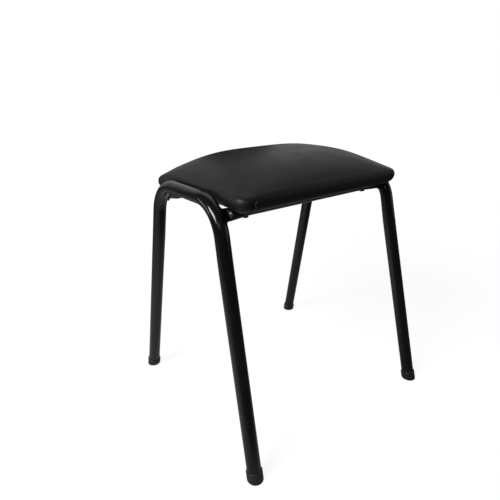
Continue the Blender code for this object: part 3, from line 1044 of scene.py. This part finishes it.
def inflate(obj):
    """Swell a pad like a filled cover held on its board. The foam under it lets no point sink."""
    start = [(vertex.co.copy(), vertex.normal.copy()) for vertex in obj.data.vertices]
    held = obj.vertex_groups.new(name="held")
    low = [vertex.index for vertex in obj.data.vertices if vertex.co.z < HEM_BOTTOM + COVER_HELD_RISE]
    held.add(low, 1.0, "REPLACE")
    cloth = modify(obj, "CLOTH")
    settings = cloth.settings
    settings.quality = CLOTH_QUALITY
    settings.vertex_group_mass = "held"
    settings.use_pressure = True
    settings.uniform_pressure_force = COVER_PRESSURE
    settings.effector_weights.gravity = 0
    settings.tension_stiffness = CLOTH_STRETCH
    settings.compression_stiffness = CLOTH_STRETCH
    settings.shear_stiffness = CLOTH_SHEAR
    settings.bending_stiffness = CLOTH_BENDING
    cloth.point_cache.frame_end = CLOTH_FRAMES
    scene = bpy.context.scene
    for step in range(1, CLOTH_FRAMES + 1):
        scene.frame_set(step)
    name = obj.name
    mesh = baked(obj)
    scene.frame_set(1)
    for vertex, (before, outward) in zip(mesh.vertices, start):
        swell = (vertex.co - before).dot(outward)
        vertex.co = before + outward * min(max(swell, 0.0), COVER_SWELL_CAP)
    return add_object(name, mesh)


def nearness(point, sign_x, sign_y):
    """1 at a corner of the seat, fading to 0 at the reach of its folds."""
    corner = Vector((sign_x * HALF_LENGTH, sign_y * HALF_DEPTH))
    return fade((point.xy - corner).length, CORNER_CORE, CORNER_REACH)


def shape_corners(bm):
    """Each corner of the seat sinks and bulges by its own amount, with the bulk of its folded vinyl."""
    for vertex in bm.verts:
        for (sign_x, sign_y), droop in CORNER_DROOP.items():
            near = nearness(vertex.co, sign_x, sign_y)
            bulge = CORNER_BULGE[sign_x, sign_y] * near
            vertex.co += Vector((sign_x * bulge, sign_y * bulge * CORNER_BULGE_DEPTHWISE, -droop * near))


def refine_edges(bm):
    """Smaller faces where the vinyl is folded at the corners and pressed at the ends."""

    def in_zone(vertex):
        beside_x = HALF_LENGTH - abs(vertex.co.x)
        beside_y = HALF_DEPTH - abs(vertex.co.y)
        low = HEM_BOTTOM + REFINE_RISE < vertex.co.z < WIDEST_LEVEL + UPPER_EDGE_RADIUS
        folded = abs(beside_x - PLEAT_FROM_END) < PLEAT_REFINED and beside_y < PLEAT_REFINED_DEPTH
        at_line = abs(vertex.co.z - PRESS_TOP) < PRESS_REFINED and beside_x < PRESS_REFINED_DEPTH
        pressed = at_line and abs(vertex.co.y) < PRESS_REFINED_HALF_WIDTH
        return low and (folded or pressed)

    edges = [edge for edge in bm.edges if in_zone(edge.verts[0]) and in_zone(edge.verts[1])]
    bmesh.ops.subdivide_edges(bm, edges=edges, cuts=REFINE_CUTS, use_grid_fill=True, smooth=0.0)


def fold_corners(bm):
    """A pleat on the long side of each corner, and small gathers where the vinyl turns under."""
    bm.normal_update()
    moves = {}
    for vertex in bm.verts:
        beside_x = HALF_LENGTH - abs(vertex.co.x)
        beside_y = HALF_DEPTH - abs(vertex.co.y)
        if beside_x > PLEAT_ZONE or beside_y > PLEAT_ZONE:
            continue
        height = vertex.co.z
        slant = beside_x - PLEAT_FROM_END - PLEAT_SLANT * (height - WIDEST_LEVEL)
        pleat = PLEAT_RIDGE * bump(slant - PLEAT_RIDGE_OFFSET, PLEAT_RIDGE_WIDTH)
        pleat -= PLEAT_DEPTH * bump(slant, PLEAT_WIDTH)
        above_hem = smooth_step(height - HEM_BOTTOM, *PLEAT_HEM_FADE)
        pleat *= PLEAT_HEM_SHARE + (1 - PLEAT_HEM_SHARE) * above_hem
        pleat *= smooth_step(abs(vertex.normal.y), *PLEAT_FACING)
        turn = math.atan2(abs(GATHER_INSET - beside_y), abs(GATHER_INSET - beside_x))
        phase = math.copysign(1, vertex.co.x) + math.copysign(2, vertex.co.y)
        under = fade(height, HEM_BOTTOM + GATHER_ABOVE_HEM, WIDEST_LEVEL - GATHER_BELOW_WIDEST)
        gather = GATHER_DEPTH * math.sin(turn * GATHER_COUNT + phase) * under
        moves[vertex] = vertex.normal * ((pleat + gather) * fade(height - WIDEST_LEVEL, *PLEAT_TOP_FADE))
    for vertex, move in moves.items():
        vertex.co += move


def press_ends(bm, inset=0.0):
    """The top runs hold the ends in, up to a crisp line just below the tubes' tops."""
    limit = HALF_LENGTH - END_PRESS - inset
    for vertex in bm.verts:
        excess = max(abs(vertex.co.x) - limit, 0.0)
        beside_run = fade(abs(vertex.co.y), PRESS_HALF_WIDTH - PRESS_SIDE_FADE, PRESS_HALF_WIDTH)
        below_line = fade(vertex.co.z - PRESS_TOP, *PRESS_LINE_FADE)
        vertex.co.x -= math.copysign(excess * beside_run * below_line, vertex.co.x)


def open_underside(bm):
    """Cut the cover's underside back to its hem."""
    inset = lower_centre_inset() + HEM_WIDTH
    level = HEM_BOTTOM + UNDERSIDE_RISE
    for normal, half in ((ALONG_X, HALF_LENGTH), (ALONG_Y, HALF_DEPTH)):
        for sign in (-1, 1):
            geometry = set()
            for face in bm.faces:
                if face.calc_center_median().z < level:
                    geometry.update((face, *face.verts, *face.edges))
            place = normal * sign * (half - inset)
            bmesh.ops.bisect_plane(bm, geom=list(geometry), plane_co=place, plane_no=normal * sign)
    inside = []
    for face in bm.faces:
        middle = face.calc_center_median()
        within = abs(middle.x) < HALF_LENGTH - inset and abs(middle.y) < HALF_DEPTH - inset
        if within and middle.z < level:
            inside.append(face)
    bmesh.ops.delete(bm, geom=inside, context="FACES")


def droop_lips(bm):
    """The long lower edges bulge a little below the board, fading at the corners and at the hem."""
    for vertex in bm.verts:
        at_lip = fade(HALF_DEPTH - abs(vertex.co.y), LIP_INSET * LIP_CORE_SHARE, LIP_INSET)
        low = fade(vertex.co.z, HEM_BOTTOM + LIP_ABOVE_HEM, WIDEST_LEVEL + LIP_ABOVE_WIDEST)
        clear_of_corner = smooth_step(HALF_LENGTH - abs(vertex.co.x), *LIP_CORNER_FADE)
        vertex.co.z -= LIP_DROOP * at_lip * low * clear_of_corner


def level_hem(bm):
    """The hem lies flat on the board where the lining covers it."""
    for vertex in bm.verts:
        beside = max(abs(vertex.co.x) - LINING_HIGH.x, abs(vertex.co.y) - LINING_HIGH.y)
        if beside < LINING_STEP and vertex.co.z < HEM_BOTTOM:
            vertex.co.z = HEM_BOTTOM


def make_cover(material):
    """Vinyl blown up a little over the pad, settled, folded at the corners and turned under the board."""
    name = "seat_cover_vinyl"
    block = add_object(name, loft_mesh("seat_pad", pad_rings(COVER_SLACK)))
    modify(block, "REMESH", mode="VOXEL", voxel_size=COVER_VOXEL)
    pad = add_object(name, baked(block))
    pad = inflate(pad)
    modify(pad, "SMOOTH", factor=COVER_SMOOTHING_SHARE, iterations=COVER_SMOOTHING)
    modify(pad, "SUBSURF", levels=1, render_levels=1)
    steps = (shape_corners, refine_edges, fold_corners, press_ends, open_underside, droop_lips, level_hem)
    cover = walled(name, edited(baked(pad), *steps), COVER_THICKNESS)
    piece = add_piece(name, cover, material, "vinyl", "seat_cover", smooth_angle=SOFT_SMOOTH_ANGLE)


def tuck_foam(bm):
    """The foam sinks with its cover at the corners, stays on its board and keeps clear of the pleats."""
    for vertex in bm.verts:
        above_foot = smooth_step(vertex.co.z, FOAM_FOOT, FOAM_FOOT + FOAM_SINK_RISE)
        low = fade(vertex.co.z, WIDEST_LEVEL, WIDEST_LEVEL + UPPER_EDGE_RADIUS)
        at_pleat = bump(HALF_LENGTH - PLEAT_FROM_END - abs(vertex.co.x), FOAM_TUCK_WIDTH)
        at_side = fade(HALF_DEPTH - abs(vertex.co.y), FOAM_OFFSET, PLEAT_ZONE)
        for (sign_x, sign_y), droop in CORNER_DROOP.items():
            vertex.co.z -= droop * nearness(vertex.co, sign_x, sign_y) * above_foot
        vertex.co.y -= math.copysign(FOAM_TUCK * at_pleat * at_side * low, vertex.co.y)
    press_ends(bm, FOAM_OFFSET)


def make_foam(material):
    mesh = edited(loft_mesh("seat_foam_block", pad_rings(FOAM_OFFSET, FOAM_FOOT)), tuck_foam)
    piece = add_piece("seat_foam_block", mesh, material, "foam", "seat_foam")


# Lining and staples


def lining_drop(x, y):
    """How far the lining hangs below its seat: flat at its edges and over the rails, crinkled between."""
    edge = min(LINING_HIGH.x - abs(x), LINING_HIGH.y - abs(y))
    free = smooth_step(edge, *LINING_EDGE_FADE) * smooth_step(abs(abs(y) - RAIL_Y), *LINING_RAIL_FADE)
    sag = LINING_SAG * smooth_step(edge, 0.0, LINING_HIGH.y)
    place = Vector((x * LINING_FOLDS_PER_METRE, y * LINING_FOLDS_PER_METRE, LINING_FOLD_SLICE))
    folds = sum(share * abs(noise.noise(place * scale)) for scale, share in LINING_FOLD_SCALES.items())
    crinkle = LINING_CRINKLE * (LINING_FOLD_LEVEL - LINING_FOLD_GAIN * folds)
    return max(free * (sag + crinkle + LINING_SLACK), 0.0)


def make_lining(material):
    """A thin sheet over the hem, open round the screws."""
    size = LINING_HIGH - LINING_LOW
    columns = round(size.x / LINING_STEP)
    rows = round(size.y / LINING_STEP)
    top = LINING_LOW.z + LINING_THICKNESS
    bm = bmesh.new()
    grid = []
    for row in range(rows + 1):
        y = LINING_LOW.y + size.y * row / rows
        places = [LINING_LOW.x + size.x * column / columns for column in range(columns + 1)]
        grid.append([bm.verts.new((x, y, top - lining_drop(x, y))) for x in places])
    screws = [Vector((side * SCREW_X, end * RAIL_Y)) for side, end in CORNERS.values()]
    for near, far in zip(grid, grid[1:]):
        for column in range(columns):
            corners = (near[column], near[column + 1], far[column + 1], far[column])
            middle = (corners[0].co.xy + corners[2].co.xy) / 2
            if min((middle - screw).length for screw in screws) > SCREW_HOLE_RADIUS + LINING_STEP / 2:
                bm.faces.new(corners)
    bmesh.ops.delete(bm, geom=[v for v in bm.verts if not v.link_faces], context="VERTS")
    name = "seat_lining_sheet"
    mesh = bpy.data.meshes.new(name)
    bm.to_mesh(mesh)
    bm.free()
    sheet = walled(name, mesh, LINING_THICKNESS)
    piece = add_piece(name, sheet, material, "lining", "seat_lining", smooth_angle=SOFT_SMOOTH_ANGLE)


def staple_mesh():
    """One staple's crown, its ends turned up into the board."""
    half = STAPLE_CROWN / 2
    base = -STAPLE_HEIGHT / 2
    path = [
        Vector((-half, 0, STAPLE_LEG)),
        Vector((-half, 0, base + STAPLE_TURN)),
        Vector((STAPLE_TURN - half, 0, base)),
    ]
    path += [Vector((-point.x, 0, point.z)) for point in reversed(path)]
    rings = []
    for index, point in enumerate(path):
        ahead = path[min(index + 1, len(path) - 1)]
        behind = path[max(index - 1, 0)]
        across = ALONG_Y * STAPLE_WIDTH / 2
        beside = (ahead - behind).normalized().cross(ALONG_Y) * STAPLE_HEIGHT / 2
        rings.append([point + a * across + b * beside for a, b in SQUARE])
    return loft_mesh("staple", rings)


def make_staple_group(staple, material):
    """Staples along a path, each a little askew, left out where the rails cross."""
    inputs = {
        "Path": None,
        "Spacing": STAPLE_SPACING,
        "Askew": STAPLE_ASKEW,
        "Rail Offset": RAIL_Y,
        "Rail Clearance": STAPLE_RAIL_CLEARANCE,
        "Seed": STAPLE_SEED,
    }
    graph, given, output = new_group("staple row", "GeometryNodeTree", inputs, "Staples")
    curve = graph.add("GeometryNodeMeshToCurve", {"Mesh": given["Path"]}).outputs[0]
    inputs = {"Curve": curve, "Length": given["Spacing"]}
    points = graph.add("GeometryNodeCurveToPoints", inputs, mode="LENGTH").outputs
    place = graph.axes(graph.add("GeometryNodeInputPosition").outputs[0])
    depthwise = graph.math("ABSOLUTE", place["Y"])
    from_rail = graph.math("ABSOLUTE", graph.math("SUBTRACT", depthwise, given["Rail Offset"]))
    on_rail = graph.math("LESS_THAN", from_rail, given["Rail Clearance"])
    inputs = {"Geometry": points["Points"], "Selection": on_rail}
    kept = graph.add("GeometryNodeDeleteGeometry", inputs, domain="POINT").outputs[0]
    inputs = {"Vector": points["Tangent"]}
    along = graph.add("FunctionNodeAlignRotationToVector", inputs, axis="X", pivot_axis="Z").outputs[0]
    inputs = {2: graph.product(given["Askew"], -1.0), 3: given["Askew"], "Seed": given["Seed"]}
    angle = graph.add("FunctionNodeRandomValue", inputs, data_type="FLOAT").outputs[1]
    twist = graph.add("FunctionNodeAxisAngleToRotation", {"Axis": (0, 0, 1), "Angle": angle}).outputs[0]
    inputs = {"Rotation": along, "Rotate By": twist}
    askew = graph.add("FunctionNodeRotateRotation", inputs, rotation_space="LOCAL").outputs[0]
    shape = graph.add("GeometryNodeObjectInfo", {"Object": staple, "As Instance": True})
    inputs = {"Points": kept, "Instance": shape.outputs["Geometry"], "Rotation": askew}
    end_nodes(graph, graph.add("GeometryNodeInstanceOnPoints", inputs).outputs[0], material, output)
    return graph.tree


def make_staples(material):
    """One row of staples round the lining."""
    half_x = LINING_HIGH.x - STAPLE_INSET
    half_y = LINING_HIGH.y - STAPLE_INSET
    corners = [Vector((a * half_x, b * half_y, LINING_LOW.z)) for a, b in SQUARE]
    points = []
    for here, there in zip(corners, corners[1:] + corners[:1]):
        points += [here.lerp(there, step / STAPLE_PATH_STEPS) for step in range(STAPLE_PATH_STEPS)]
    staple = add_object("staple", staple_mesh())
    group = make_staple_group(staple, material)
    mesh = run_nodes("lining_staples", path_mesh("staple_path", points, closed=True), group)
    bpy.data.objects.remove(staple)
    add_piece("lining_staples", mesh, material, "zinc_steel")


# Screws and foot caps


def screw_profile():
    """A pan head and its shank as radius and height pairs, up from the middle of the head."""
    bearing = RAIL_Z - RAIL_RADIUS - GAP
    head_height = bearing - SCREW_LOW.z
    head_radius = (SCREW_HIGH.x - SCREW_LOW.x) / 2
    profile = [(head_radius * DOME_FLAT_SHARE, bearing - head_height)]
    for angle in map(math.radians, DOME_ANGLES):
        radius = head_radius * (DOME_CORE_SHARE + (1 - DOME_CORE_SHARE) * math.cos(angle))
        drop = head_height * (DOME_FOOT_SHARE + (1 - DOME_FOOT_SHARE) * math.sin(angle))
        profile.append((radius, bearing - drop))
    return profile + [(head_radius, bearing), (SHANK_RADIUS, bearing), (SHANK_RADIUS, SCREW_HIGH.z)]


def make_screws(material):
    """Pan-head screws with a cross recess, up through the rails."""
    levels = {1.0: SCREW_LOW.z - RECESS_MARGIN, RECESS_TAPER: SCREW_LOW.z + RECESS_DEPTH}
    recess = []
    for length, width in ((RECESS_LENGTH, RECESS_WIDTH), (RECESS_WIDTH, RECESS_LENGTH)):
        rings = []
        for taper, level in levels.items():
            half_x = length / 2 * taper
            half_y = width / 2 * taper
            rings.append([Vector((a * half_x, b * half_y, level)) for a, b in SQUARE])
        recess.append(loft_mesh("recess", rings))
    blank = loft_mesh("seat_screw", turned(screw_profile(), SCREW_SIDES))
    screw = drilled("seat_screw", blank, recess)
    for corner, (side, end) in CORNERS.items():
        mesh = screw.copy()
        turn = Matrix.Rotation(math.radians(TURN_BY_SIDE * side + TURN_BY_END * end), 4, "Z")
        mesh.transform(Matrix.Translation((side * SCREW_X, end * RAIL_Y, 0)) @ turn)
        add_piece("pan_screw_" + corner, mesh, material, "screw", "seat_screw_" + corner)


def cap_profiles():
    """Two lists of radius and height pairs: rings level with the floor, then rings square to the leg."""
    bore = TUBE_RADIUS + GAP
    outer = bore + CAP_WALL
    flat = outer - CAP_LOWER_ROUND
    grip = TUBE_RADIUS + CAP_GRIP_GAP
    rim = outer - grip
    level = [(flat * CAP_MIDDLE_SHARE, TREAD_DEPTH)]
    for tread in range(TREADS):
        start = flat * (tread + TREAD_FIRST) / (TREADS + TREAD_SPREAD)
        level += [(start + flat * TREAD_SHARE * share, height) for share, height in TREAD_SLOPES]
    level += [(flat - inset, height) for inset, height in CAP_EDGE_SLOPE]
    square = []
    for angle in map(math.radians, CAP_ROUND_ANGLES):
        level.append((flat + CAP_LOWER_ROUND * math.sin(angle), CAP_LOWER_ROUND * (1 - math.cos(angle))))
        square.append((grip + rim * math.cos(angle), CAP_HEIGHT - rim * (1 - math.sin(angle))))
    square += [
        (grip, CAP_HEIGHT - rim / 2),
        (bore, CAP_HEIGHT - rim),
        (bore, CAP_FLOOR),
        (bore * CAP_MIDDLE_SHARE, CAP_FLOOR),
    ]
    return level, square


def make_foot_caps(material):
    """Caps round the leg ends: a round rim, a round lower edge and a level, ringed floor."""
    level, square = cap_profiles()
    for corner, (side, end) in CORNERS.items():
        axis = leg_direction(side, end)
        across = axis.cross(ALONG_Y).normalized()
        beside = axis.cross(across)
        foot = foot_point(side, end)
        rings = []
        for radius, height in level:
            ring = ring_round(foot, across, beside, radius, CAP_SIDES)
            rings.append([point + axis * ((height - point.z) / axis.z) for point in ring])
        for radius, distance in square:
            rings.append(ring_round(foot + axis * distance, across, beside, radius, CAP_SIDES))
        mesh = loft_mesh("foot_cap_moulding", rings)
        add_piece("foot_moulding_" + corner, mesh, material, "foot_plastic", "foot_cap_" + corner)


# Floor, light and camera


def make_floor():
    """White to the camera; to reflections a dim floor that glows with a painted pool of light behind the
    stool.
    """
    bpy.ops.mesh.primitive_plane_add(size=FLOOR_SIZE, location=(0, 0, 0))
    floor = bpy.context.object
    floor.name = "studio_floor"
    material = bpy.data.materials.new("studio_floor")
    material.use_nodes = True
    graph = Graph(material.node_tree)
    graph.tree.nodes.clear()
    rays = graph.add("ShaderNodeLightPath").outputs
    place = graph.place()
    along = graph.axes(place)
    distance = graph.vector("LENGTH", place)
    spread = graph.math("POWER", graph.math("DIVIDE", distance, POOL_RADIUS), 2.0)
    lit = graph.map_range(graph.vector("DOT_PRODUCT", place, POOL_DIRECTION), -0.3, 0.0, 0.0, 0.55)
    # Painted light for reflections: dimmer far behind and to the right, and painted shade close under the
    # stool
    painted_light_pool = graph.product(
        graph.math("DIVIDE", lit, graph.math("ADD", 1.0, spread)),
        graph.map_range(along["Y"], 0.3, 0.8, 1.0, 0.45),
        graph.map_range(along["X"], -0.1, 0.3, 1.0, 0.45),
        graph.map_range(distance, 0.15, 0.34, 0.6, 1.0),
    )
    # The floor glows with this painted light for glossy rays only
    reflected = graph.product(rays["Is Glossy Ray"], graph.math("ADD", painted_light_pool, FLOOR_LEVEL))
    white = graph.product(rays["Is Camera Ray"], graph.map_range(distance, 0.9, 2.5, 0.9, 1.0))
    glow = graph.add("ShaderNodeEmission", {"Strength": graph.math("MAXIMUM", white, reflected)})
    shade = graph.mix_colour(rays["Is Camera Ray"], (0.08, 0.08, 0.08), (0.2, 0.2, 0.2))
    paint = graph.add("ShaderNodeBsdfDiffuse", {"Color": shade})
    both = graph.add("ShaderNodeAddShader", {0: paint.outputs[0], 1: glow.outputs[0]})
    graph.add("ShaderNodeOutputMaterial", {"Surface": both.outputs[0]})
    floor.data.materials.append(material)


def make_world():
    """White to the camera; to the object a dim room with one pale wall, behind it and to the right."""
    world = bpy.data.worlds.new("studio_world")
    world.use_nodes = True
    bpy.context.scene.world = world
    graph = Graph(world.node_tree)
    rays = graph.add("ShaderNodeLightPath").outputs
    direction = graph.add("ShaderNodeTexCoord").outputs["Generated"]
    along = graph.axes(direction)
    # On one side of the room only, dimmer towards the front, the floor and the left
    wall = graph.product(
        graph.map_range(graph.vector("DOT_PRODUCT", direction, WALL_DIRECTION), -0.06, 0.1),
        graph.map_range(along["Y"], -0.5, 0.45, 0.04, 0.64),
        graph.map_range(along["Z"], 0.02, 0.3, 0.5, 1.0),
        graph.map_range(along["X"], -0.1, 0.45, 0.68, 1.0),
    )
    # A second pale patch, low on the right and in front
    low_right = graph.product(
        graph.map_range(along["X"], 0.58, 0.85, 0.0, 0.6),
        graph.map_range(along["Z"], 0.15, 0.45, 1.0, 0.0),
        graph.map_range(along["Y"], -0.45, -0.25, 1.0, 0.0),
    )
    room = graph.math("ADD", graph.math("ADD", wall, low_right), ROOM_LEVEL)
    inputs = {"Factor": rays["Is Camera Ray"], "A": room, "B": 1.0}
    shown = graph.add("ShaderNodeMix", inputs, data_type="FLOAT").outputs[0]
    background = world.node_tree.nodes["Background"]
    graph.fill(background.inputs["Color"], (1, 1, 1, 1))
    graph.fill(background.inputs["Strength"], shown)


def add_panel(name, place, width, length, radiance):
    """A soft box of an even brightness that looks at the seat. The camera doesn't see it."""
    data = bpy.data.lights.new(name, "AREA")
    data.energy = math.pi * width * length * radiance
    data.shape = "RECTANGLE"
    data.size = width
    data.size_y = length
    panel = add_object(name, data)
    panel.location = place
    panel.rotation_euler = (LIGHT_AIM - Vector(place)).to_track_quat("-Z", "Y").to_euler()
    panel.visible_camera = False


def make_flag():
    """A black card behind the seat that only reflections see. It keeps the rear left of the vinyl dark."""
    bpy.ops.mesh.primitive_plane_add(size=1, location=FLAG_PLACE, rotation=(math.pi / 2, 0, 0))
    flag = bpy.context.object
    flag.name = "studio_flag"
    flag.scale = (FLAG_WIDTH, FLAG_HEIGHT, 1)
    material = bpy.data.materials.new("studio_flag")
    material.use_nodes = True
    shader = material.node_tree.nodes["Principled BSDF"]
    shader.inputs["Base Color"].default_value = (0.02, 0.02, 0.02, 1)
    shader.inputs["Roughness"].default_value = 1.0
    shader.inputs["Specular IOR Level"].default_value = 0.0
    flag.data.materials.append(material)
    flag.visible_camera = False
    flag.visible_diffuse = False
    flag.visible_shadow = False


def make_camera():
    data = bpy.data.cameras.new("photo_camera")
    data.lens = CAMERA_LENS
    data.sensor_width = CAMERA_SENSOR
    data.clip_start = CAMERA_CLIP
    camera = add_object("photo_camera", data)
    camera.location = CAMERA_PLACE
    camera.rotation_euler = [math.radians(angle) for angle in CAMERA_TURN]
    bpy.context.scene.camera = camera


def dress_solids(finishes):
    """The solids that stay keep their meshes and take their finishes."""
    for name, node in frame["nodes"].items():
        for start, material in finishes.items():
            if name.startswith(start):
                node.data.materials.clear()
                node.data.materials.append(material)


def main():
    bpy.context.scene.view_settings.view_transform = "Standard"
    make_camera()
    make_floor()
    make_world()
    for name, panel in PANELS.items():
        add_panel(name, **panel)
    make_flag()
    powder_coat = make_powder_coat()
    zinc = make_zinc()
    make_end_frames(powder_coat)
    make_rails(powder_coat)
    make_welds(powder_coat)
    make_cover(make_vinyl())
    make_foam(make_foam_finish())
    make_lining(make_lining_finish())
    make_staples(zinc)
    make_screws(make_screw_finish())
    make_foot_caps(make_foot_plastic())
    dress_solids({"seat_board": make_plywood(), "tee_nut": zinc})


main()
